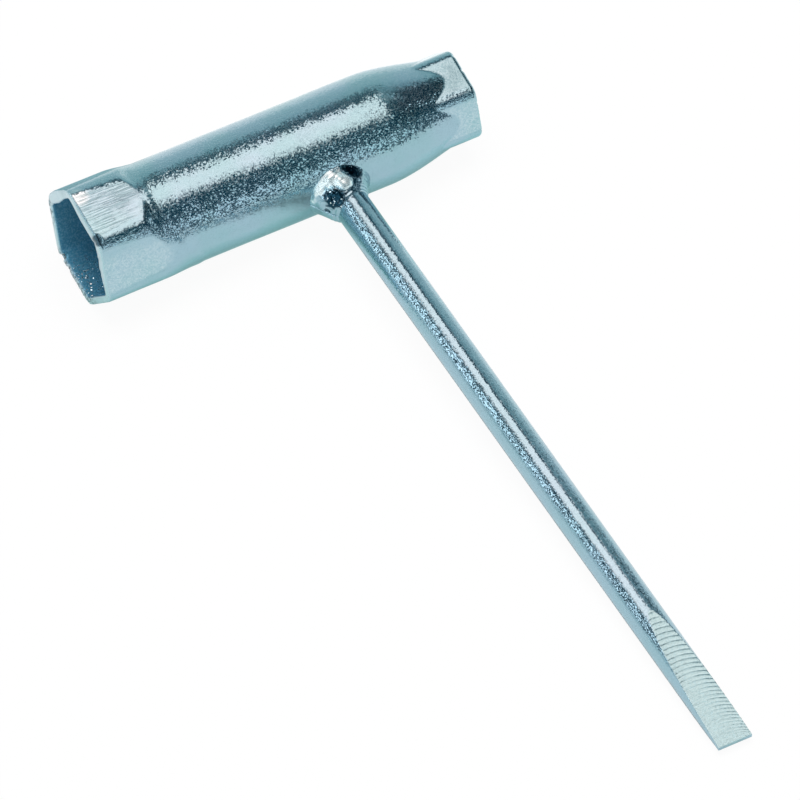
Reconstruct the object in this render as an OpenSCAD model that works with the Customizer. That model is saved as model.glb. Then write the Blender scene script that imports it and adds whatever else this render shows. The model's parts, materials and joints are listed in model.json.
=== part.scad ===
// Spark plug wrench: a steel tube pressed into a hexagon socket at each end, with a round bar
// welded to its side. The bar is the lever, and its tip is milled into a screwdriver blade.
// Frame: the origin is the centre of the large socket's mouth, +X runs down the tube to the
// small socket, the bar points along -Y, and the blade's flats face +Z and -Z.

/* [Sockets] */
// Across flats of the large socket, for a 19 mm spark plug
large_af = 19.4; // [18:0.1:22]
// Straight depth of the large hexagon
large_depth = 9; // [7:0.5:14]
// Length over which the large hexagon runs out into the round tube
large_runout = 5; // [3:0.5:8]
// Across flats of the small socket, for a 13 mm nut
small_af = 13.2; // [11:0.1:15]
// Length of the small hexagon, whose inner end lies within the shoulder
small_depth = 13; // [11:0.5:16]
// Length of the shoulder that the tube is drawn in over, up to the small mouth
shoulder_length = 19.6; // [18:0.2:22]
// Share of the shoulder's S-curve that is left where the small mouth cuts it off
shoulder_share = 0.82; // [0.7:0.02:1]
// How far the shoulder dips below the small socket's flats at the mouth
shoulder_dip = 0.85; // [0.2:0.05:1.4]
// Radius of the hexagons' inner corners
inner_corner = 0.4; // [0.2:0.1:0.8]
// Radius of the hexagons' outer corners
outer_corner = 2.6; // [1.5:0.1:3.5]
// Turn of both hexagons about the tube, away from flats that face up and down
hexagon_turn = 11; // [0:1:30]

/* [Tube] */
// Length of the tube between its two mouths
tube_length = 81.6; // [78:0.2:100]
// Inside diameter of the tube
tube_bore = 19; // [18:0.1:20]
// Wall thickness of the tube and its large socket
tube_wall = 1.5; // [1:0.1:2]
// Wall thickness of the small socket, thickened as the tube was drawn in
small_wall = 2; // [1:0.1:2.4]

/* [Bar] */
// Diameter of the round bar
bar_diameter = 7; // [6:0.1:9]
// Distance from the tube's axis to the blade's tip
bar_reach = 160.8; // [120:0.2:200]
// Distance from the large mouth to the bar's axis
bar_place = 50.3; // [35:0.1:55]

/* [Blade] */
// Length of the milled blade
blade_length = 32; // [20:1:40]
// Thickness of the blade at its tip
blade_tip = 0.8; // [0.6:0.1:2]

/* [Weld] */
// Leg of the weld along the tube
weld_leg = 3.1; // [2:0.1:4]
// Leg of the weld round the tube, above and below the bar
weld_side_leg = 2.3; // [1.5:0.1:3]
// Height that the weld climbs up the bar
weld_rise = 4.7; // [3:0.1:6]
// Extra height on the side of the large socket, taken off the other side
weld_lean = 0.8; // [0:0.1:1.5]
// Share by which the weld's face is hollowed, from a flat face at 0
weld_hollow = 0.15; // [0:0.05:0.6]

/* [Hidden] */
tube_r = tube_bore / 2 + tube_wall;
bar_r = bar_diameter / 2;
blade_start = bar_reach - blade_length;
shoulder_start = tube_length - shoulder_length;
// Sides of a full circle
$fn = 96;
// Steps round a hexagon's corner, and along an eased step of the tube
corner_points = 5;
curve_steps = 12;
// Steps of a weld run round the bar, and from its crown to its toe
weld_sides = 24;
weld_steps = 6;
// How far a cutting shape runs past the face that it cuts
past = 2;
// Step that keeps a round face off a flat or a corner that it would only touch
apart = 0.1;

// Rises from 0 to 1 as t goes from 0 to 1, level at both ends
function ease(t) = (1 - cos(180 * t)) / 2;
function mix(a, b, t) = a + (b - a) * t;
function corner_reach(af, r) = af / sqrt(3) - r * (2 / sqrt(3) - 1);

// Outline of a hexagon with rounded corners, with its flats square to the first axis
function rounded_hexagon(af, r) = [
    for (side = [0:5], k = [0:corner_points])
        let (
            corner = 30 + 60 * side,
            turn = corner - 30 + 60 * k / corner_points,
            centre = (af / 2 - r) * 2 / sqrt(3)
        )
        [centre * cos(corner) + r * cos(turn), centre * sin(corner) + r * sin(turn)]
];

// Points along an eased step in radius between two places on the axis. A share below 1 leaves
// off the last of the S-curve, so that the step ends on a slope.
function eased_step(r0, r1, x0, x1, share = 1) = [
    for (k = [0:curve_steps])
        let (t = k / curve_steps)
        [mix(r0, r1, ease(share * t) / ease(share)), mix(x0, x1, t)]
];

module along_tube() {
    rotate([0, 90, 0]) children();
}

module along_bar() {
    translate([bar_place, 0, 0]) rotate([90, 0, 0]) children();
}

// The round body: inside the large hexagon, straight, then drawn in at the small end.
// Walls of 0 give the inside.
module round_form(wall, end_wall, over) {
    mouth = large_af / 2 + wall - apart;
    barrel = tube_bore / 2 + wall;
    neck = small_af / 2 - shoulder_dip + end_wall;
    along_tube() rotate_extrude() polygon(concat(
        [[0, -over], [mouth, -over]],
        eased_step(mouth, barrel, large_depth, large_depth + large_runout),
        eased_step(barrel, neck, shoulder_start, tube_length, shoulder_share),
        over > 0 ? [[neck, tube_length + over]] : [],
        [[0, tube_length + over]]
    ));
}

// A hexagon's prism from its mouth to the given length
module hexagon_form(af, corner, length, over) {
    translate([-over, 0, 0]) along_tube() rotate([0, 0, hexagon_turn])
        linear_extrude(length + over) polygon(rounded_hexagon(af, corner));
}

// The large hexagon, whose corners sink into the round tube over the run-out
module large_form(wall, corner, over) {
    af = large_af + 2 * wall;
    reach = corner_reach(af, corner) + apart;
    sunk = tube_bore / 2 + wall - apart;
    end = large_depth + large_runout;
    intersection() {
        hexagon_form(af, corner, end, over);
        along_tube() rotate_extrude() polygon(concat(
            [[0, -past], [reach, -past]],
            eased_step(reach, sunk, large_depth, end),
            [[0, end]]
        ));
    }
}

module small_form(wall, corner, over) {
    translate([tube_length, 0, 0]) mirror([1, 0, 0])
        hexagon_form(small_af + 2 * wall, corner, small_depth, over);
}

module tube_form(wall, end_wall, corner, over) {
    round_form(wall, end_wall, over);
    large_form(wall, corner, over);
    small_form(end_wall, corner, over);
}

module socket_tube() {
    color("lightsteelblue") difference() {
        tube_form(tube_wall, small_wall, outer_corner, 0);
        tube_form(0, 0, inner_corner, past);
    }
}

module tube_solid() {
    along_tube() cylinder(r = tube_r, h = tube_length);
}

// One side's waste above the blade's flat, in the plane of the bar's length and thickness
module blade_waste() {
    slope = (bar_r - blade_tip / 2) / blade_length;
    rotate([90, 0, 90]) linear_extrude(2 * bar_diameter, center = true) polygon([
        [bar_r, blade_start],
        [blade_tip / 2 - slope * past, bar_reach + past],
        [bar_diameter, bar_reach + past],
        [bar_diameter, blade_start]
    ]);
}

// The bar's inner end is shaped to sit on the tube
module screwdriver_bar() {
    color("lightsteelblue") difference() {
        along_bar() difference() {
            translate([0, 0, tube_r - bar_r]) cylinder(r = bar_r, h = bar_reach - tube_r + bar_r);
            for (side = [0, 1]) mirror([0, side, 0]) blade_waste();
        }
        tube_solid();
    }
}

// Size of the weld in direction a about the bar, where 0 faces the small socket
function weld_leg_at(a) = mix(weld_leg, weld_side_leg, pow(sin(a), 2)) - weld_lean * cos(a) / 2;
function weld_crown_at(a) = tube_r + weld_rise - weld_lean * cos(a);
// Height of the tube's surface at radius r from the bar's axis
function on_tube(a, r) = sqrt(pow(tube_r, 2) - pow(r * sin(a), 2));
function around_bar(a, r, height) = [r * cos(a), r * sin(a), height];

// The weld's face: t is 0 at the crown on the bar and 1 at the toe on the tube
function weld_face(a, t) =
    let (
        toe = on_tube(a, bar_r + weld_leg_at(a)),
        out = weld_leg_at(a) * mix(t, t * t, weld_hollow),
        up = mix(1 - t, pow(1 - t, 2), weld_hollow)
    )
    around_bar(a, bar_r + out, mix(toe, weld_crown_at(a), up));

// The weld's seat: t is 0 at the toe, 1 in the root between tube and bar, and 2 at the crown
function weld_seat(a, t) =
    let (r = bar_r + weld_leg_at(a) * max(1 - t, 0))
    around_bar(a, r, mix(on_tube(a, r), weld_crown_at(a), max(t - 1, 0)));

// The loop round the weld's section, down its face and back along its seat
function weld_loop(a, k) =
    k <= weld_steps ? weld_face(a, k / weld_steps) : weld_seat(a, 2 * (k / weld_steps - 1));

// The fillet is laid as two runs, one from each face of the wrench, that meet at mid height.
// A run is swept through half a turn about the bar, and each end is closed across its loop.
module weld_run(start) {
    loop = 2 * weld_steps;
    points = [
        for (s = [0:weld_sides], k = [0:loop - 1]) weld_loop(start + 180 * s / weld_sides, k)
    ];
    at = function (s, k) s * loop + k % loop;
    skin = [
        for (s = [0:weld_sides - 1], k = [0:loop - 1])
            each [
                [at(s, k), at(s, k + 1), at(s + 1, k)],
                [at(s, k + 1), at(s + 1, k + 1), at(s + 1, k)]
            ]
    ];
    across = [
        for (k = [0:weld_steps - 1])
            each concat(
                k > 0 ? [[k, loop - k, k + 1]] : [],
                k < weld_steps - 1 ? [[loop - k, loop - k - 1, k + 1]] : []
            )
    ];
    first = [for (f = across) [for (k = f) at(0, k)]];
    last = [for (f = across) [for (k = [f[2], f[1], f[0]]) at(weld_sides, k)]];
    color("silver") along_bar() polyhedron(points, concat(skin, first, last));
}

module weld_run_upper() {
    weld_run(0);
}

module weld_run_lower() {
    weld_run(180);
}

socket_tube();
screwdriver_bar();
weld_run_upper();
weld_run_lower();
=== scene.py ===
"""Spark plug wrench: a zinc-plated tube with a socket at each end and a lever bar welded to it.

Metres, in the frame of the solids: +X runs down the tube from the large socket to the small one,
the bar points along -Y, and +Z is up.
"""
import json
from math import cos, pi, radians, sin, sqrt, tau

import bmesh
import bpy
from mathutils import Matrix, Vector
from mathutils.bvhtree import BVHTree


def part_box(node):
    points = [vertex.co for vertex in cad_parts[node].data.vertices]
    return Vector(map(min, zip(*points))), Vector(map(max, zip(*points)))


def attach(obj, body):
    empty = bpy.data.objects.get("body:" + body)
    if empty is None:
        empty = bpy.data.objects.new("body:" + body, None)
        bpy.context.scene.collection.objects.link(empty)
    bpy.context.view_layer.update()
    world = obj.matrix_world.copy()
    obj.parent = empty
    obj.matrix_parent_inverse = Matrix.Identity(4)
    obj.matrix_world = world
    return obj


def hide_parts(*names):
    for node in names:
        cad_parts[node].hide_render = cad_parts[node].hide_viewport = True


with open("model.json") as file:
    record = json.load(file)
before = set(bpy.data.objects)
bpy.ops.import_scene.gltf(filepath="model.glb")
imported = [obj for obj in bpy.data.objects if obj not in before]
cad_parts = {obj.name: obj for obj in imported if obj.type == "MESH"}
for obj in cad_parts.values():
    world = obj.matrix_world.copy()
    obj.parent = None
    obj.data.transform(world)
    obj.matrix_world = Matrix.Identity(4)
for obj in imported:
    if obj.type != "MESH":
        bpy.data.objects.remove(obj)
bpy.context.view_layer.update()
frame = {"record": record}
mounts = {mount["name"]: mount for mount in frame["record"]["mounts"]}
MM = 0.001

# Sizes that the frame gives
TUBE_LENGTH = mounts["small_socket"]["pos_m"][0]
BORE_R = mounts["tube_bore"]["dims"]["r_mm"] * MM
BAR_X = mounts["blade"]["pos_m"][0]
BAR_REACH = -mounts["blade"]["pos_m"][1]
BAR_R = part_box("screwdriver_bar")[1].z
WELD_CROWN = -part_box("weld_run_upper")[0].y

# Tube
TUBE_WALL = 1.5 * MM
TUBE_R = BORE_R + TUBE_WALL
SHOULDER = 19.6 * MM
SHOULDER_USED = 0.82
SHOULDER_DIP = 0.85 * MM
UNEVENNESS = 0.1 * MM

# Sockets
LARGE_FLATS = 19.4 * MM
LARGE_DEPTH = 9 * MM
LARGE_RUNOUT = 4 * MM
LARGE_LONGER_BELOW = 8 * MM
LARGE_LONGER_BEHIND = 2 * MM
LARGE_SETTLE = 1.5 * MM
LARGE_RIM = 0.5 * MM
SMALL_FLATS = 13.2 * MM
SMALL_WALL = 2 * MM
SMALL_RIM = 0.8 * MM
OUTER_CORNER = 2.6 * MM
INNER_CORNER = 0.5 * MM

# Step that keeps a round form off a flat, and the soft joins between the tube's forms
APART = 0.03 * MM
BLEND = 0.12 * MM
LARGE_BLEND = 0.5 * MM

# Wear of the large socket
FLAT_CROWN = 0.38 * MM
FLAT_CROWN_FULL = 10.5 * MM
FLAT_CROWN_END = 15 * MM
BURR = 1.2 * MM
LIP_END = 1.2 * MM
LIP_DEPTH = 0.8 * MM
DENT_PLACE = 0.6 * MM
DENT_HALF_TURN = radians(7)
DENT_DEPTH = 0.35 * MM
NOTCH_DEPTH = 0.8 * MM

# Turns about the tube, from behind it and over its top
HEXAGON_TURN = radians(41)
TOP_TURN = radians(100)
TORN_TURN = radians(10)
FAR_FLAT_TURN = radians(42)
DENT_TURN = radians(127)
LIP_TURN = radians(130)
BURR_TURN = radians(278)
NOTCH_TURN = radians(305)

# Blade
BLADE_LENGTH = 32 * MM
BLADE_TIP = 0.8 * MM
MILL_DEPTH = 0.035 * MM
MILL_SWEEP = 8 * MM
MILL_OFF_CENTRE = 0.25
MILL_SLOWING = 0.33
MILL_EDGE = 0.05 * MM

# Weld
WELD_LEG = 3.1 * MM
WELD_SIDE_LEG = 2.3 * MM
WELD_LEAN = 0.8 * MM
WELD_RISE = WELD_CROWN - TUBE_R - WELD_LEAN
WELD_SUNK = 0.25 * MM
WELD_OVERLAP = radians(8)
# Shares of a run that each end tapers over, and of the loop round it that is its face
WELD_TAPER = 0.05
WELD_FACE = 0.6
# How far the face stands proud away from the bar and away from the tube
WELD_OUT = 0.8
WELD_UP = 0.6
# Typical radius of a run and length of its face in millimetres, for its lumps
WELD_MID_R = 4
WELD_FACE_LENGTH = 5

# Steps of the grids
TUBE_ROUND = 336
RIM_STEPS = 10
BAR_ROUND = 144
CAP_STEPS = 3
SHANK_STEPS = 64
MILL_PASSES = 34
PASS_STEPS = 7
WELD_ALONG = 160
WELD_ROUND = 64


class Socket:
    """One node socket. A sum on it adds Math nodes to its tree."""

    def __init__(self, graph, socket):
        self.graph = graph
        self.socket = socket

    def out(self, name):
        return Socket(self.graph, self.socket.node.outputs[name])

    def math(self, operation, *others):
        return self.graph.maths(operation, self, *others)

    def __add__(self, other):
        return self.graph.maths("ADD", self, other)

    __radd__ = __add__

    def __sub__(self, other):
        return self.graph.maths("SUBTRACT", self, other)

    def __rsub__(self, other):
        return self.graph.maths("SUBTRACT", other, self)

    def __mul__(self, other):
        return self.graph.maths("MULTIPLY", self, other)

    __rmul__ = __mul__

    def __truediv__(self, other):
        return self.graph.maths("DIVIDE", self, other)

    def __rtruediv__(self, other):
        return self.graph.maths("DIVIDE", other, self)

    def __pow__(self, other):
        return self.graph.maths("POWER", self, other)

    def __mod__(self, other):
        return self.graph.maths("FLOORED_MODULO", self, other)

    def __gt__(self, other):
        return self.graph.maths("GREATER_THAN", self, other)

    def __lt__(self, other):
        return self.graph.maths("LESS_THAN", self, other)

    def __abs__(self):
        return self.graph.maths("ABSOLUTE", self)


class Graph:
    """Adds nodes to one tree, of a material or of a form."""

    def __init__(self, tree):
        self.tree = tree

    def node(self, kind, settings=None, inputs=None):
        node = self.tree.nodes.new(kind)
        for name, value in (settings or {}).items():
            if name == "stops":
                self._set_stops(node.color_ramp, value)
            else:
                setattr(node, name, value)
        for key, value in (inputs or {}).items():
            named = (s for s in node.inputs if s.enabled and s.name == key)
            socket = node.inputs[key] if isinstance(key, int) else next(named)
            if isinstance(value, Socket):
                self.tree.links.new(value.socket, socket)
            else:
                socket.default_value = value
        outputs = [s for s in node.outputs if s.enabled]
        return Socket(self, outputs[0]) if outputs else None

    def _set_stops(self, ramp, stops):
        while len(ramp.elements) < len(stops):
            ramp.elements.new(1)
        for element, (place, colour) in zip(ramp.elements, stops):
            element.position = place
            element.color = (*colour, 1)

    def maths(self, operation, *values):
        return self.node("ShaderNodeMath", {"operation": operation}, dict(enumerate(values)))

    def least(self, a, b):
        return self.maths("MINIMUM", a, b)

    def most(self, a, b):
        return self.maths("MAXIMUM", a, b)

    def mix(self, a, b, share):
        return a + (b - a) * share

    def ramp(self, value, start, end, low=0.0, high=1.0, eased=False):
        """Goes from low to high as value goes from start to end, and stays level outside them."""
        kind = "SMOOTHSTEP" if eased else "LINEAR"
        return self.node(
            "ShaderNodeMapRange",
            {"interpolation_type": kind},
            {"Value": value, "From Min": start, "From Max": end, "To Min": low, "To Max": high},
        )

    def split(self, vector):
        parts = self.node("ShaderNodeSeparateXYZ", None, {0: vector})
        return parts.out("X"), parts.out("Y"), parts.out("Z")

    def join(self, x, y, z):
        return self.node("ShaderNodeCombineXYZ", None, {0: x, 1: y, 2: z})

    def vector(self, operation, *values):
        return self.node("ShaderNodeVectorMath", {"operation": operation}, dict(enumerate(values)))

    def stretch(self, vector, scale):
        return self.vector("MULTIPLY", vector, scale)

    def noise(self, vector, scale, detail, roughness=0.5):
        return self.node(
            "ShaderNodeTexNoise",
            None,
            {"Vector": vector, "Scale": scale, "Detail": detail, "Roughness": roughness},
        )

    def blend_colour(self, a, b, share):
        return self.node("ShaderNodeMix", {"data_type": "RGBA"}, {"A": a, "B": b, "Factor": share})


# Forms


def form(name, sizes, build):
    """A tree of nodes with one named input for each size, and the identifiers of those inputs."""
    tree = bpy.data.node_groups.new(name, "GeometryNodeTree")
    tree.interface.new_socket("Form", in_out="OUTPUT", socket_type="NodeSocketGeometry")
    kinds = {label: "NodeSocketFloat" for label in sizes} | {"Finish": "NodeSocketMaterial"}
    identifiers = {
        label: tree.interface.new_socket(label, in_out="INPUT", socket_type=kind).identifier
        for label, kind in kinds.items()
    }
    graph = Graph(tree)
    given = tree.nodes.new("NodeGroupInput")
    size = {label: Socket(graph, given.outputs[label]) for label in kinds}
    skin = build(graph, size)
    merged = graph.node("GeometryNodeMergeByDistance", None, {"Geometry": skin, "Distance": 1e-6})
    smooth = graph.node("GeometryNodeSetShadeSmooth", None, {"Geometry": merged})
    real = graph.node("GeometryNodeRealizeInstances", None, {"Geometry": smooth})
    finished = graph.node(
        "GeometryNodeSetMaterial", None, {"Geometry": real, "Material": size["Finish"]}
    )
    graph.node("NodeGroupOutput", None, {0: finished})
    return tree, identifiers


def make_piece(name, tree, identifiers, sizes, finish):
    """Runs a form with these sizes and keeps what it makes as a plain mesh."""
    piece = bpy.data.objects.new(name, bpy.data.meshes.new(name))
    bpy.context.scene.collection.objects.link(piece)
    modifier = piece.modifiers.new(name, "NODES")
    modifier.node_group = tree
    for label, value in (sizes | {"Finish": finish}).items():
        modifier[identifiers[label]] = value
    depsgraph = bpy.context.evaluated_depsgraph_get()
    mesh = bpy.data.meshes.new_from_object(piece.evaluated_get(depsgraph), depsgraph=depsgraph)
    piece.modifiers.remove(modifier)
    piece.data = mesh
    return piece


def dress(piece, node):
    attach(piece, "root")
    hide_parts(node)


def unit_grid(g, columns, rows):
    """A grid of quads, with the share of the way across it and up it."""
    grid = g.node(
        "GeometryNodeMeshGrid",
        None,
        {"Size X": 1.0, "Size Y": 1.0, "Vertices X": columns + 1, "Vertices Y": rows + 1},
    )
    x, y, _ = g.split(g.node("GeometryNodeInputPosition"))
    return grid, x + 0.5, y + 0.5


def total_steps(stretches):
    return sum(steps for _, steps in stretches)


def stations(g, share, start, stretches, eased=False):
    """Value along a run of stretches, each given as the value at its end and its steps."""
    total = total_steps(stretches)
    value, last, done = start, start, 0
    for end, steps in stretches:
        passed = g.ramp(share, done / total, (done + steps) / total, eased=eased)
        value = value + (end - last) * passed
        last, done = end, done + steps
    return value


def mark(g, mesh, marks):
    """Stores values on the points of a mesh, for its finish to read."""
    for name, value in marks.items():
        mesh = g.node(
            "GeometryNodeStoreNamedAttribute",
            {"data_type": "FLOAT", "domain": "POINT"},
            {"Geometry": mesh, "Name": name, "Value": value},
        )
    return mesh


def place(g, mesh, x, y, z):
    return g.node("GeometryNodeSetPosition", None, {"Geometry": mesh, "Position": g.join(x, y, z)})


def smoothstep(share):
    return share * share * (3 - 2 * share)


def off_turn(turn, middle):
    """How far a turn lies past a middle one, from half a turn before it to half a turn after."""
    return (turn - middle + pi) % tau - pi


def near_turn(g, turn, middle, full, none):
    """1 up to full degrees from a middle turn, and eased down to 0 at none degrees from it."""
    return g.ramp(abs(turn - middle), radians(none), radians(full), eased=True)


def rounded_hexagon(g, turn, flats, corner):
    """Radius of a hexagon with rounded corners in direction turn, and where it is flat."""
    off_flat = abs((turn - HEXAGON_TURN + pi / 6) % (pi / 3) - pi / 6)
    centre = (flats / 2 - corner) * (2 / sqrt(3))
    flat = flats / 2 / off_flat.math("COSINE")
    off_corner = pi / 6 - off_flat
    chord = corner * corner - (centre * off_corner.math("SINE")) ** 2
    bend = centre * off_corner.math("COSINE") + g.most(chord, 0).math("SQRT")
    rounded = off_flat > (centre / flats).math("ARCTANGENT")
    return g.mix(flat, bend, rounded), 1 - rounded


def tube_radius(g, size, x, turn, wall, end_wall, corner, corner_end):
    """Radius of the tube's skin, and where one of its hexagons is pressed flat. The large hexagon
    runs out further below than above, and starts to run out later behind."""
    past_top = off_turn(turn, TOP_TURN)
    before_top = past_top * -1
    fade = radians(170), radians(110)
    below = g.ramp(past_top, radians(10), radians(95)) ** 2 * g.ramp(past_top, *fade, eased=True)
    behind = g.ramp(before_top, radians(20), radians(75)) * g.ramp(before_top, *fade)
    depth = size["Large Depth"] + behind * size["Longer Behind"]
    run_out = depth + size["Run-out"] + below * size["Longer Below"]
    settled = run_out + LARGE_SETTLE

    barrel = size["Bore Radius"] + wall
    mouth = size["Large Flats"] / 2 + wall - APART
    neck = size["Small Flats"] / 2 - SHOULDER_DIP + end_wall
    start = size["Length"] - size["Shoulder"]
    end = start + size["Shoulder"] / SHOULDER_USED
    drop = (neck - barrel) / smoothstep(SHOULDER_USED)
    drawn_in = g.ramp(x, start, end, 0, drop, eased=True)
    body = g.ramp(x, run_out - LARGE_SETTLE / 4, settled, mouth, barrel, eased=True) + drawn_in

    large_flats = size["Large Flats"] + 2 * wall
    rounding = g.ramp(x, 0, run_out, corner, corner_end)
    reach = large_flats / sqrt(3) - corner * (2 / sqrt(3) - 1) + APART
    collar = g.ramp(x, depth, run_out, reach, mouth - APART, eased=True)
    collar = collar - g.ramp(x, run_out, settled, 0, mouth) + drawn_in
    large, large_flat = rounded_hexagon(g, turn, large_flats, rounding)
    small, small_flat = rounded_hexagon(g, turn, size["Small Flats"] + 2 * end_wall, corner)
    pressed_large = g.ramp(collar - large, 0, LARGE_BLEND) * large_flat
    pressed_small = g.ramp(small - body, 0, BLEND) * small_flat
    large = g.maths("SMOOTH_MIN", large, collar, LARGE_BLEND)
    radius = g.maths("SMOOTH_MAX", g.maths("SMOOTH_MAX", body, large, BLEND), small, BLEND)
    return radius, g.most(pressed_large, pressed_small)


def tube_skin(g, size):
    """The tube as one closed skin: along its outside, over the small rim, back along its inside."""
    length, large_rim, small_rim = size["Length"], size["Large Rim"], size["Small Rim"]
    hexagon_end = size["Large Depth"] + size["Run-out"] + size["Longer Below"] + LARGE_SETTLE
    barrel_end = length - size["Shoulder"]
    outside = [(hexagon_end, 86), (barrel_end, 24), (length - small_rim, 92)]
    inside = [(barrel_end, 30), (hexagon_end, 12), (large_rim, 30)]
    path = outside + [(length - small_rim, RIM_STEPS)] + inside + [(large_rim, RIM_STEPS)]
    through = [(0, total_steps(outside)), (1, RIM_STEPS), (1, total_steps(inside)), (0, RIM_STEPS)]
    grid, along, around = unit_grid(g, total_steps(path), TUBE_ROUND)
    turn = (1 - around) * tau
    cosine, sine = turn.math("COSINE"), turn.math("SINE")
    x = stations(g, along, large_rim, path)
    inward = stations(g, along, 0, through, eased=True)
    outward = 1 - inward

    walls, corner = (size["Wall"], size["Small Wall"]), size["Outer Corner"]
    outer, outer_flat = tube_radius(g, size, x, turn, *walls, corner, corner * 2)
    corner = size["Inner Corner"]
    inner, inner_flat = tube_radius(g, size, x, turn, 0, 0, corner, corner)
    spot = g.join(x / MM, outer / MM * cosine, outer / MM * sine)
    uneven = g.noise(spot, scale=0.11, detail=1.0) - 0.5
    radius = g.mix(outer, inner, inward) + uneven * size["Unevenness"]

    at_small = x > length / 2
    at_large = 1 - at_small
    rim = g.mix(large_rim, small_rim, at_small)
    from_edge = g.least(inward, outward * 3) * size["Wall"] / rim
    edge = (1 - (1 - g.least(from_edge, 1)) ** 2).math("SQRT")
    nick = g.ramp(g.noise(spot, scale=0.55, detail=3.0), 0.56, 0.75)

    burr = near_turn(g, turn, size["Burr Turn"], 34, 42) * at_large * edge
    frayed = g.noise(spot, scale=1.8, detail=3.0, roughness=0.7) - 0.5
    radius = radius + burr * frayed * size["Burr"]

    thick = near_turn(g, turn, LIP_TURN, 30, 62)
    past_corner = off_turn(turn, TORN_TURN)
    torn = g.ramp(past_corner, radians(-4), 0, eased=True)
    torn = torn * g.ramp(past_corner, radians(50), radians(18), eased=True)
    torn = torn * (0.4 + g.noise(spot, scale=0.9, detail=2.0) * 0.8)
    lip = g.ramp(x, LIP_END, large_rim, 0, LIP_DEPTH) * g.most(thick, torn)
    radius = radius - lip * inward

    crowned = near_turn(g, turn, FAR_FLAT_TURN, 12, 29)
    crowned = crowned * g.ramp(x, FLAT_CROWN_END, FLAT_CROWN_FULL, eased=True) * outward
    radius = radius + crowned * size["Flat Crown"]

    dent = ((turn - DENT_TURN) / DENT_HALF_TURN) ** 2 + ((x - DENT_PLACE) / DENT_PLACE) ** 2
    dent = g.ramp(dent, 1, 0, eased=True) * outward
    radius = radius - dent * DENT_DEPTH
    notch = near_turn(g, turn, NOTCH_TURN, 1.5, 3.5) * at_large * edge

    # The dent and the notch are marked for painted shade in their hollows
    marks = {
        "rim": edge,
        "inside": inward,
        "pressed": g.mix(outer_flat, inner_flat, inward),
        "scarred": g.most(g.ramp(dent, 0.15, 0.45), notch),
    }
    x = x + (at_small * 2 - 1) * edge * rim * (1 - nick * 0.5) + notch * NOTCH_DEPTH
    return place(g, mark(g, grid, marks), x, radius * cosine, radius * sine)


def bar_skin(g, size):
    """The bar from its end on the tube to the tip, with a flat milled on either side of the blade.
    The grid's columns follow the cutter's arcs there, a fixed number of them to each pass."""
    reach, radius, blade_length = size["Reach"], size["Radius"], size["Blade Length"]
    blade = reach - blade_length
    root = size["Tube Radius"] - radius
    mill_steps = MILL_PASSES * PASS_STEPS
    columns = SHANK_STEPS + mill_steps + 2 * CAP_STEPS
    grid, along, around = unit_grid(g, columns, BAR_ROUND)
    turn = (1 - around) * tau
    to_blade = [(root, CAP_STEPS), (blade, SHANK_STEPS), (blade, mill_steps + CAP_STEPS)]
    to_tip = [(0, CAP_STEPS + SHANK_STEPS), (1, mill_steps), (1, CAP_STEPS)]
    closing = [(1, CAP_STEPS), (1, SHANK_STEPS + mill_steps), (0, CAP_STEPS)]
    past = stations(g, along, 0, to_tip)
    run = stations(g, along, root, to_blade)
    run = run + blade_length * (past + past * (1 - past) * size["Mill Slowing"])
    full = stations(g, along, 0, closing)
    x = radius * turn.math("COSINE")
    z = radius * turn.math("SINE")

    off_centre = x + radius * MILL_OFF_CENTRE
    bow = size["Mill Sweep"] - (size["Mill Sweep"] ** 2 - off_centre**2).math("SQRT")
    run = run + bow * g.ramp(past, 0, 0.1, eased=True) * g.ramp(past, 1, 0.88, eased=True)
    level = g.ramp(run, blade, reach, radius, size["Blade Tip"] / 2)
    step = past * MILL_PASSES % 1
    groove = 1 - g.least(abs(step * PASS_STEPS - PASS_STEPS // 2) / 2, 1)
    depth = size["Mill Depth"] * g.ramp(past, 0.2, 0.95, 1, 0.25)
    cut = level - groove * depth
    flat = g.least(g.most(z, 0 - cut), cut)
    milled = g.ramp(abs(z) - cut, 0, MILL_EDGE)

    seat = (size["Tube Radius"] ** 2 - (z * full) ** 2).math("SQRT")
    skin = mark(g, grid, {"milled": milled})
    return place(g, skin, size["Bar Place"] + x * full, 0 - g.most(run, seat), flat * full)


# Drops on a weld run: turn and share of the way down, the half width of each, height, and painted
# shine from 1 for a painted highlight to -1 for painted dark reflections and shade in the pit
WELD_DROPS = [
    (radians(132), 0.86, radians(40), 0.17, 0.5 * MM, 1.0),
    (radians(95), 0.52, radians(24), 0.28, 0.65 * MM, 1.0),
    (radians(113), 0.72, radians(24), 0.2, 0.3 * MM, 1.0),
    (radians(66), 0.74, radians(26), 0.24, 0.1 * MM, -1.0),
    (radians(135), 0.34, radians(33), 0.3, 0.25 * MM, -1.0),
    (radians(175), 0.42, radians(7), 0.11, -0.45 * MM, -0.8),
]
# Half turn of a drop from which its edge is fully ragged
RAGGED_FROM = radians(24)


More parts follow.
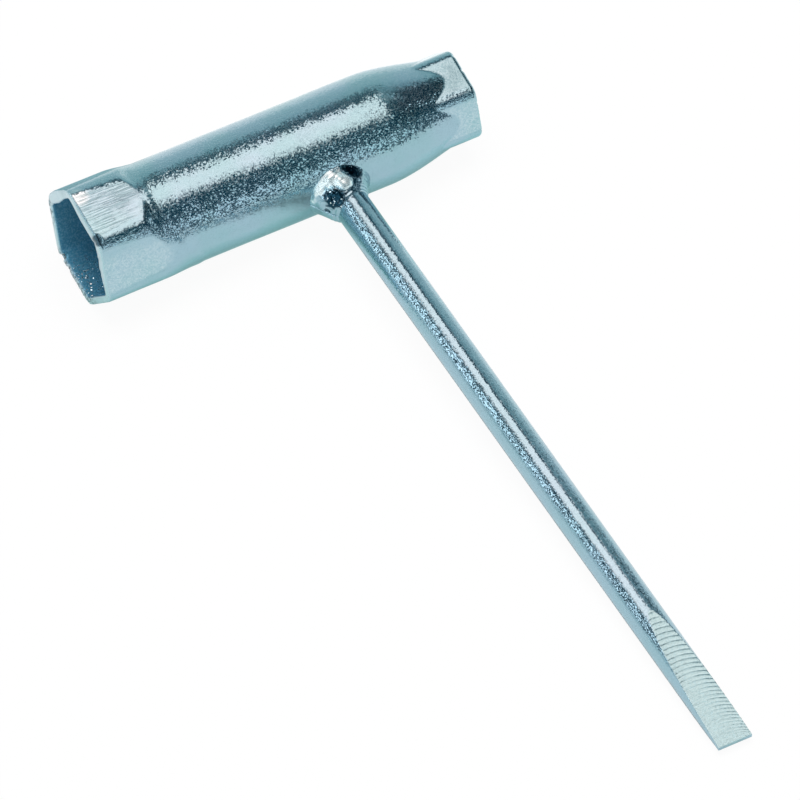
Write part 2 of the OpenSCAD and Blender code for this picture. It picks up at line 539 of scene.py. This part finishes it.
def weld_skin(g, size):
    """One run of the fillet, half way round the bar, with its root sunk in the bar and tube. Each
    column of the grid goes down the weld's face and back through its root."""
    grid, along, climb = unit_grid(g, WELD_ALONG, WELD_ROUND)
    around = 1 - climb
    bar_r, tube_r = size["Bar Radius"], size["Tube Radius"]
    swept = g.mix(0 - size["Overlap"], pi + size["Overlap"], along)
    turn = size["Start"] + swept
    cosine, sine = turn.math("COSINE"), turn.math("SINE")
    from_end = g.least(along, 1 - along)
    taper = g.ramp(from_end, 0, WELD_TAPER).math("SQRT")
    down = g.ramp(around, 0, WELD_FACE)
    back = g.ramp(around, WELD_FACE, 1)

    ripple = (down * size["Ripples"] * tau).math("SINE") * g.ramp(down, 0.45, 0.1)
    x, z = cosine * WELD_MID_R + size["Seed"], sine * WELD_MID_R
    spot = g.join(x, z, down * WELD_FACE_LENGTH)
    lump = g.noise(spot, scale=0.35, detail=1.0) - 0.5
    bulge = g.ramp(cosine, 0.9, 0.09, 0.15, 1, eased=True)
    proud = (size["Crown"] + lump * size["Lumps"]) * bulge + ripple * size["Ripple Depth"]
    # Each drop also paints the finish: a painted highlight above 0, painted dark below 0
    shine = 0.0
    ragged = (g.noise(spot, scale=1.1, detail=2.0) - 0.5) * 3
    for drop_turn, drop_down, half_turn, half_down, height, drop_painted_shine in WELD_DROPS:
        away = ((swept - drop_turn) / half_turn) ** 2 + ((down - drop_down) / half_down) ** 2
        proud = proud + g.ramp(away, 1, 0, 0, height, eased=True)
        fray = ragged * min(1, half_turn / RAGGED_FROM) ** 2
        shine = shine + g.ramp(away + fray, 1, 0.5, 0, drop_painted_shine, eased=True)
    window = (down * (1 - down) * 4).math("SQRT")
    proud = proud * window * taper

    leg = g.mix(size["Leg"], size["Side Leg"], sine**2) - size["Lean"] * cosine / 2
    crown = tube_r + size["Rise"] - size["Lean"] * cosine
    crown_r = bar_r - WELD_SUNK
    toe_r = bar_r + leg
    toe = (tube_r**2 - (toe_r * sine) ** 2).math("SQRT") - WELD_SUNK
    face_r = g.mix(crown_r, toe_r, down) + proud * WELD_OUT
    face_h = g.mix(crown, toe, down) + proud * WELD_UP
    root_r = bar_r - WELD_SUNK * 2
    root_h = (tube_r**2 - (root_r * sine) ** 2).math("SQRT") - WELD_SUNK * 2
    dip = 1 - abs(back * 2 - 1)
    r = g.mix(g.mix(face_r, crown_r, back), root_r, dip)
    h = g.mix(g.mix(face_h, crown, back), root_h, dip)
    r = g.mix(root_r, r, taper)
    h = g.mix(root_h, h, taper)
    skin = mark(g, grid, {"shine": shine, "down": down, "swept": swept})
    return place(g, skin, size["Bar Place"] + r * cosine, 0 - h, r * sine)


TUBE_SIZES = {
    "Length": TUBE_LENGTH,
    "Large Flats": LARGE_FLATS,
    "Large Depth": LARGE_DEPTH,
    "Run-out": LARGE_RUNOUT,
    "Longer Below": LARGE_LONGER_BELOW,
    "Longer Behind": LARGE_LONGER_BEHIND,
    "Small Flats": SMALL_FLATS,
    "Shoulder": SHOULDER,
    "Bore Radius": BORE_R,
    "Wall": TUBE_WALL,
    "Small Wall": SMALL_WALL,
    "Outer Corner": OUTER_CORNER,
    "Inner Corner": INNER_CORNER,
    "Large Rim": LARGE_RIM,
    "Small Rim": SMALL_RIM,
    "Unevenness": UNEVENNESS,
    "Flat Crown": FLAT_CROWN,
    "Burr": BURR,
    "Burr Turn": BURR_TURN,
}
BAR_SIZES = {
    "Reach": BAR_REACH,
    "Radius": BAR_R,
    "Bar Place": BAR_X,
    "Tube Radius": TUBE_R,
    "Blade Length": BLADE_LENGTH,
    "Blade Tip": BLADE_TIP,
    "Mill Depth": MILL_DEPTH,
    "Mill Slowing": MILL_SLOWING,
    "Mill Sweep": MILL_SWEEP,
}
WELD_SIZES = {
    "Start": 0.0,
    "Overlap": WELD_OVERLAP,
    "Bar Radius": BAR_R,
    "Tube Radius": TUBE_R,
    "Bar Place": BAR_X,
    "Leg": WELD_LEG,
    "Side Leg": WELD_SIDE_LEG,
    "Rise": WELD_RISE,
    "Lean": WELD_LEAN,
    "Crown": 0.2 * MM,
    "Ripples": 9.0,
    "Ripple Depth": 0.1 * MM,
    "Lumps": 0.7 * MM,
    "Seed": 0.0,
}

# Finishes

ZINC_TEAL = (0.29, 0.49, 0.54, 1)
ZINC_BLUE = (0.33, 0.5, 0.58, 1)
BURNISHED_AND_GLINT = (0.6, 0.74, 0.77, 1)
MILLED = (0.32, 0.51, 0.54, 1)
SHADED_ZINC = (0.09, 0.35, 0.51, 1)
SHADED_CRYSTAL = (0.2, 0.5, 0.68, 1)
SCRATCHED = (0.13, 0.27, 0.3, 1)
WELD_OXIDE = (0.2, 0.33, 0.38, 1)
PAINTED_HIGHLIGHT = (0.78, 0.93, 0.94, 1)
PAINTED_DARK = (0.01, 0.045, 0.07, 1)

# Gloss of the plating, its crystals to the millimetre, and how steep they are on tube and bar
PLATED_ROUGHNESS = 0.06
WELD_ROUGHNESS = 0.05
CRYSTALS = 3.9
TUBE_GRAIN = 0.066
BAR_GRAIN = 0.055

# Scratches to the millimetre along each axis, and streaks down a weld's face and to a radian of it
SCRATCH_STRETCH = (0.14, 4.6, 4.6)
STREAKS_DOWN = 24
STREAKS_ALONG = 2

# Places on the tube in millimetres: the spot rubbed bright on the large socket's top flat, its
# bright middle and its edge, the end of the half that has scratches, and that of the burred edge
RUBBED_PLACE = (1.4, 2.2, 11.1)
RUBBED_BRIGHT_R = 1.2
RUBBED_R = 2.4
SCRATCHES_END = 40
BURRS_END = 3


def new_material(name):
    material = bpy.data.materials.new(name)
    material.use_nodes = True
    material.node_tree.nodes.clear()
    return material, Graph(material.node_tree)


def in_millimetres(g):
    coordinates = g.node("ShaderNodeTexCoord").out("Object")
    return g.stretch(coordinates, (1 / MM, 1 / MM, 1 / MM))


def attribute(g, name):
    return g.node("ShaderNodeAttribute", {"attribute_name": name}).out("Fac")


def finish_metal(g, colour, roughness, height, metallic=1.0):
    """A metal surface whose height is given in millimetres."""
    bump = g.node("ShaderNodeBump", None, {"Strength": 1.0, "Distance": MM, "Height": height})
    metal = g.node(
        "ShaderNodeBsdfPrincipled",
        None,
        {"Base Color": colour, "Roughness": roughness, "Normal": bump, "Metallic": metallic},
    )
    g.node("ShaderNodeOutputMaterial", None, {"Surface": metal})


def zinc(g, spot):
    """Colour of the plating, which drifts between two tints."""
    drift = g.ramp(g.noise(spot, scale=0.09, detail=2.0), 0.4, 0.62)
    return g.blend_colour(ZINC_TEAL, ZINC_BLUE, drift)


def crystals(g, spot, lean):
    """Height of the plating's crystals at a slope of 1, each a small facet with its own tilt, and a
    chance value for each. The lean is how far they tilt along each axis."""
    cell = g.node("ShaderNodeTexVoronoi", None, {"Vector": spot, "Scale": CRYSTALS})
    away = g.vector("SUBTRACT", spot, cell.out("Position"))
    tilt = g.stretch(g.vector("SUBTRACT", cell.out("Color"), (0.5, 0.5, 0.5)), lean)
    return g.vector("DOT_PRODUCT", away, tilt) * 2, g.split(cell.out("Color"))[0]


def tube_plating():
    material, g = new_material("zinc_on_drawn_tube")
    spot = in_millimetres(g)
    run, across, up = g.split(spot)
    names = ("rim", "pressed", "inside", "scarred")
    rim, pressed, inside, scarred = (attribute(g, name) for name in names)
    flat = pressed * (1 - inside)
    facet, chance = crystals(g, spot, (0.6, 1, 1))

    from_rubbed = g.vector("DISTANCE", spot, RUBBED_PLACE)
    rubbed = g.ramp(from_rubbed, RUBBED_R, RUBBED_BRIGHT_R) * (1 - inside)
    burnish = flat * chance * g.ramp(up, 7, 5, 0.12, 0.5)
    # Sparkles: steep crystals on the inside's bar side, out of its shade, painted paler as glints
    sparkle = g.ramp(chance, 0.84, 0.93) * inside * (1 - rim) * g.ramp(across, 6, 2)
    bright = g.most(g.most(burnish, rim * 0.6), g.most(rubbed, sparkle))
    colour = g.blend_colour(zinc(g, spot), BURNISHED_AND_GLINT, bright)

    worn = g.ramp(g.noise(spot, scale=0.22, detail=2.0), 0.28, 0.5)
    worn = worn * flat * g.ramp(up, 7.5, 9) * (run < SCRATCHES_END)
    drawn = g.noise(g.stretch(spot, SCRATCH_STRETCH), scale=1.0, detail=2.0, roughness=0.6)
    scratch = g.ramp(drawn, 0.46, 0.62) * worn
    colour = g.blend_colour(colour, SCRATCHED, scratch * 0.5)

    # Painted shade: dark specks on the low and far parts of the frayed rim, and in the dent and
    # notch
    lower = g.ramp(up, -7.5, -9)
    far = g.ramp(across, 9.3, 10.3) * g.ramp(up, 3, 1.5)
    painted_burr_shade = g.ramp(g.noise(spot, scale=1.7, detail=2.0), 0.5, 0.56)
    painted_burr_shade = painted_burr_shade * rim * g.most(lower, far) * (run < BURRS_END)
    colour = g.blend_colour(colour, PAINTED_DARK, g.most(painted_burr_shade * 0.7, scarred * 0.85))

    shaded = inside * (1 - rim) * (1 - sparkle)
    grain = g.ramp(g.noise(spot, scale=3.0, detail=1.0), 0.42, 0.66)
    shade = g.blend_colour(SHADED_ZINC, SHADED_CRYSTAL, grain)
    colour = g.blend_colour(colour, shade, shaded)

    roughness = PLATED_ROUGHNESS + flat * 0.08 + rim * 0.15 + inside * (1 - sparkle) * 0.15
    height = facet * (TUBE_GRAIN - flat * 0.052 + sparkle * 0.5) - scratch * 0.015
    finish_metal(g, colour, roughness, height, 1 - shaded * 0.6)
    return material


def bar_plating():
    material, g = new_material("zinc_on_round_bar")
    spot = in_millimetres(g)
    milled = attribute(g, "milled")
    facet, chance = crystals(g, spot, (0.7, 1, 1))
    colour = g.blend_colour(g.blend_colour(zinc(g, spot), ZINC_BLUE, 0.6), MILLED, milled)
    colour = g.blend_colour(colour, SHADED_ZINC, g.ramp(chance, 0.7, 0.9) * milled * 0.1)
    height = facet * (BAR_GRAIN - milled * 0.033)
    finish_metal(g, colour, PLATED_ROUGHNESS + milled * 0.08, height)
    return material


def weld_plating():
    material, g = new_material("zinc_on_weld")
    spot = in_millimetres(g)
    shine = attribute(g, "shine")
    # Painted highlights on bright drops, painted dark on dark ones, painted glints as specks in the
    # dark
    bright, dark = g.ramp(shine, 0, 1), g.ramp(shine, 0, -1)
    specks = g.ramp(g.noise(spot, scale=2.2, detail=2.0), 0.61, 0.67)
    patches = g.ramp(g.noise(spot, scale=0.35, detail=3.0), 0.45, 0.65)
    colour = g.blend_colour(zinc(g, spot), WELD_OXIDE, patches * 0.4)
    colour = g.blend_colour(colour, PAINTED_HIGHLIGHT, bright + specks * dark)
    colour = g.blend_colour(colour, PAINTED_DARK, dark * (1 - specks))
    down, swept = attribute(g, "down"), attribute(g, "swept")
    lay = g.join(down * STREAKS_DOWN, swept * STREAKS_ALONG, 0.0)
    streaks = g.noise(lay, scale=1.0, detail=2.0) * bright
    waves = g.noise(spot, scale=1.2, detail=1.0) * (0.1 - bright * 0.085)
    roughness = WELD_ROUGHNESS + g.noise(spot, scale=1.2, detail=2.0) * 0.08 + bright * 0.18
    finish_metal(g, colour, roughness, waves + streaks * 0.06, 1 - bright * 0.25)
    return material


# Pieces

tube_form = form("tube_form", TUBE_SIZES, tube_skin)
tube = make_piece("drawn_tube", *tube_form, TUBE_SIZES, tube_plating())
dress(tube, "socket_tube")

bar_form = form("bar_form", BAR_SIZES, bar_skin)
bar = make_piece("lever_bar", *bar_form, BAR_SIZES, bar_plating())
bar.data.set_sharp_from_angle(angle=radians(11))
dress(bar, "screwdriver_bar")

weld_form = form("weld_form", WELD_SIZES, weld_skin)
weld_finish = weld_plating()
beads = []
for side, start, seed in (("upper", 0.0, 3.0), ("lower", pi, 11.0)):
    sizes = WELD_SIZES | {"Start": start, "Seed": seed}
    bead = make_piece(f"weld_bead_{side}", *weld_form, sizes, weld_finish)
    dress(bead, f"weld_run_{side}")
    beads.append(bead)
pieces = [tube, bar, *beads]

# Stage

WHITE = (1, 1, 1, 1)
FLOOR_PALE = (0.78, 0.78, 0.78, 1)
FLOOR_PAINTED_CARD = (1.25, 1.25, 1.25, 1)
FLOOR_SHADE = (0.22, 0.45, 0.5, 1)
FLOOR_UNDER = (0.55, 0.95, 0.9, 1)
WALL_STOPS = [(0, (0.04, 0.09, 0.125)), (0.5, (0.36, 0.52, 0.56)), (1, (0.95, 1, 1))]
ROOM_GLOOM = (0.02, 0.07, 0.1, 1)
CORNER_GLOOM = (0.005, 0.03, 0.045, 1)
ROOM_PANEL = (1.25, 1.3, 1.36, 1)
LEFT_PANEL = (2.2, 2.2, 2.3, 1)
CORNER_PANEL = (2.4, 2.5, 2.6, 1)
SOFTBOX_LIGHT = (2.1, 1.64, 1.56, 1)
FLOOR_GLOW = (0.9, 0.92, 0.93, 1)

SOFT_GREY = (0.5, 0.5, 0.5, 1)

FLOOR_HALF = 3.0
STUDIO_R = 0.6
# Share of the floor's look that is plain white, so that the rest keeps the shadow
SEEN_WHITE = 0.95
# Shares of the floor's tints that reflections see
CARD_SHARE = 0.9
UNDER_SHARE = 0.42


def show_white(g, lit, mirrored, tint):
    """Plain white for most of what is seen, a tint for a share of reflections, and else as lit."""
    path = g.node("ShaderNodeLightPath")
    glossy = path.out("Is Glossy Ray")
    seen = path.out("Is Camera Ray") + path.out("Is Transmission Ray")
    share = seen * SEEN_WHITE + glossy * mirrored
    plain = g.node("ShaderNodeEmission", None, {"Color": g.blend_colour(WHITE, tint, glossy)})
    return g.node("ShaderNodeMixShader", None, {0: g.least(share, 1), 1: lit, 2: plain})


def resting_plane(objects):
    """Where the wrench lies: the face of its hull that is below its middle."""
    hull = bmesh.new()
    for item in objects:
        hull.from_mesh(item.data)
    bmesh.ops.convex_hull(hull, input=hull.verts)
    middle = sum((v.co for v in hull.verts), Vector()) / len(hull.verts)
    point, normal, _, _ = BVHTree.FromBMesh(hull).ray_cast(middle, Vector((0, 0, -1)))
    hull.free()
    return point, normal


def lay_floor():
    """A pale floor. Reflections see it tinted behind the tube and under it."""
    mesh = bpy.data.meshes.new("floor")
    low, high = -FLOOR_HALF, FLOOR_HALF
    corners = [(low, low, 0), (high, low, 0), (high, high, 0), (low, high, 0)]
    mesh.from_pydata(corners, [], [(0, 1, 2, 3)])
    floor = bpy.data.objects.new("floor", mesh)
    point, normal = resting_plane(pieces)
    tilt = (-normal).to_track_quat("Z", "Y").to_matrix().to_4x4()
    floor.matrix_world = Matrix.Translation(point) @ tilt
    bpy.context.scene.collection.objects.link(floor)

    material, g = new_material("pale_floor")
    lit = g.node("ShaderNodeBsdfDiffuse", None, {"Color": FLOOR_PALE})
    x, y, _ = g.split(g.node("ShaderNodeNewGeometry").out("Position"))
    # Painted for reflections: shade behind the large socket, a bright card behind, a greenish glow
    # under
    behind = g.ramp(y, 0, 10 * MM) * g.ramp(x, 0, 3 * MM)
    shade = behind * g.ramp(x, 32 * MM, 24 * MM)
    painted_card = behind * g.ramp(y, 50 * MM, 20 * MM)
    under = g.ramp(y, -19 * MM, -14 * MM) * g.ramp(y, 4 * MM, -4 * MM)
    tint = g.blend_colour(FLOOR_PAINTED_CARD, FLOOR_SHADE, shade)
    tint = g.blend_colour(tint, FLOOR_UNDER, under)
    mirrored = g.most(g.most(painted_card, shade) * CARD_SHARE, under * UNDER_SHARE)
    surface = show_white(g, lit, mirrored, tint)
    g.node("ShaderNodeOutputMaterial", None, {"Surface": surface})
    mesh.materials.append(material)


def studio_light(g):
    """Light of the studio by direction: a pale wall behind, a dark room with scattered bright
    panels in front, to either side and above the wall, a softbox of two slanted stretches
    overhead, and the floor's glow below."""
    direction = g.vector("NORMALIZE", g.node("ShaderNodeTexCoord").out("Object"))
    x, y, z = g.split(direction)

    back = g.ramp(z, 0, 0.55, 0.8, 0.6) * g.ramp(z, 0.5, 0.76, 1, 0.38, eased=True)
    back = g.most(back, g.ramp(x, 0.42, 0.55, 0, 0.42))
    wall = g.node("ShaderNodeValToRGB", {"stops": WALL_STOPS}, {0: back})

    front = g.ramp(y - x * 0.6, 0.0, -0.45, eased=True)
    left = g.ramp(x, -0.05, -0.4, eased=True) * g.ramp(z, 0.1, 0.35)
    right = g.ramp(x, 0.5, 0.65, eased=True) * g.ramp(y, 0.5, 0.25, eased=True)
    top = g.ramp(z, 0.56, 0.76, eased=True) * g.ramp(x, 0.55, 0.42, eased=True)
    top_right = right * g.ramp(z, 0.45, 0.65)
    cover = g.mix(g.ramp(z, 0.35, 0.62, 0, -0.185), 0.035, left)
    cover = cover - top_right * 0.05 - top * g.ramp(y, 0.1, 0.3, 0, 0.1)
    cover = cover - right * g.ramp(z, 0.55, 0.4) * 0.12
    fine = g.noise(direction, scale=14.0, detail=0.0)
    coarse = g.noise(direction, scale=10.0, detail=0.0)
    panels = g.ramp(g.mix(fine, coarse, left) + cover, 0.5, 0.55)
    gloom = g.blend_colour(ROOM_GLOOM, CORNER_GLOOM, top_right)
    panel = g.blend_colour(ROOM_PANEL, LEFT_PANEL, left)
    panel = g.blend_colour(panel, CORNER_PANEL, top_right)
    room = g.blend_colour(gloom, panel, panels)

    far = g.ramp(x * 1.5 + y * 0.3, 0.635, 0.6) * g.ramp(x + y, 0.86, 0.78)
    far = far * g.most(g.ramp(y - x, -0.02, 0.08), g.ramp(y, 0.37, 0.31))
    near = g.ramp(y - x * 1.5, -0.24, -0.32)
    softbox = (
        g.most(far, near)
        * g.ramp(x + y, -0.1, 0.2, eased=True)
        * g.ramp(y * 0.83 - x * 0.55, 0.63, 0.45, eased=True)
        * g.ramp(x, 0.5, 0.43, eased=True)
        * (z > 0)
    )

    light = g.blend_colour(wall, room, g.most(g.most(front, left), g.most(right, top * 0.9)))
    light = g.blend_colour(light, SOFTBOX_LIGHT, softbox)
    return g.blend_colour(light, FLOOR_GLOW, g.ramp(z, 0.1, 0.04))


def raise_studio():
    """A shell round the wrench that only reflections see."""
    shell = bmesh.new()
    bmesh.ops.create_uvsphere(shell, u_segments=64, v_segments=32, radius=STUDIO_R)
    mesh = bpy.data.meshes.new("studio")
    shell.to_mesh(mesh)
    shell.free()
    studio = bpy.data.objects.new("studio", mesh)
    bpy.context.scene.collection.objects.link(studio)
    studio.visible_camera = False
    studio.visible_diffuse = False
    studio.visible_shadow = False
    studio.visible_transmission = False

    material, g = new_material("studio_walls")
    glow = g.node("ShaderNodeEmission", None, {"Color": studio_light(g), "Strength": 1.0})
    g.node("ShaderNodeOutputMaterial", None, {"Surface": glow})
    material.cycles.emission_sampling = "NONE"
    mesh.materials.append(material)


def light_world():
    """A soft grey light from all round, which is seen as white."""
    world = bpy.data.worlds.new("white_surround")
    bpy.context.scene.world = world
    world.use_nodes = True
    world.node_tree.nodes.clear()
    g = Graph(world.node_tree)
    path = g.node("ShaderNodeLightPath")
    seen = path.out("Is Camera Ray") + path.out("Is Glossy Ray") + path.out("Is Transmission Ray")
    soft = g.node("ShaderNodeBackground", None, {"Color": SOFT_GREY})
    white = g.node("ShaderNodeBackground", None, {"Color": WHITE})
    surround = g.node("ShaderNodeMixShader", None, {0: g.least(seen, 1), 1: soft, 2: white})
    g.node("ShaderNodeOutputWorld", None, {"Surface": surround})


def hang_lamp():
    lamp = bpy.data.objects.new("overhead_lamp", bpy.data.lights.new("overhead_lamp", "AREA"))
    lamp.data.shape = "DISK"
    lamp.data.size = 0.9
    lamp.data.energy = 12.0
    lamp.location = (BAR_X, 0.1, 1.1)
    lamp.visible_glossy = False
    bpy.context.scene.collection.objects.link(lamp)


def place_camera():
    """The photograph's view, as its outline gives it: direction, roll, distance, aim and lens."""
    azimuth, elevation, roll = radians(-28.945), radians(49.133), radians(0.647)
    distance, lens = 2.675, 639.1
    aim_right, aim_up = 16.145 * MM, -46.57 * MM
    right = Vector((cos(azimuth), sin(azimuth), 0))
    look = Vector((-sin(azimuth) * cos(elevation), cos(azimuth) * cos(elevation), -sin(elevation)))
    up = right.cross(look)
    right, up = right * cos(roll) + up * sin(roll), up * cos(roll) - right * sin(roll)
    crossing = Vector((BAR_X, 0, 0))
    eye = crossing - look * distance
    back = (eye - (crossing + right * aim_right + up * aim_up)).normalized()
    side = up.cross(back).normalized()
    axes = Matrix((side, back.cross(side), back)).transposed().to_4x4()
    camera = bpy.data.objects.new("camera", bpy.data.cameras.new("camera"))
    camera.data.sensor_width = 36
    camera.data.lens = lens
    camera.matrix_world = Matrix.Translation(eye) @ axes
    bpy.context.scene.collection.objects.link(camera)
    bpy.context.scene.camera = camera


lay_floor()
raise_studio()
light_world()
hang_lamp()
place_camera()
bpy.context.scene.view_settings.view_transform = "Standard"
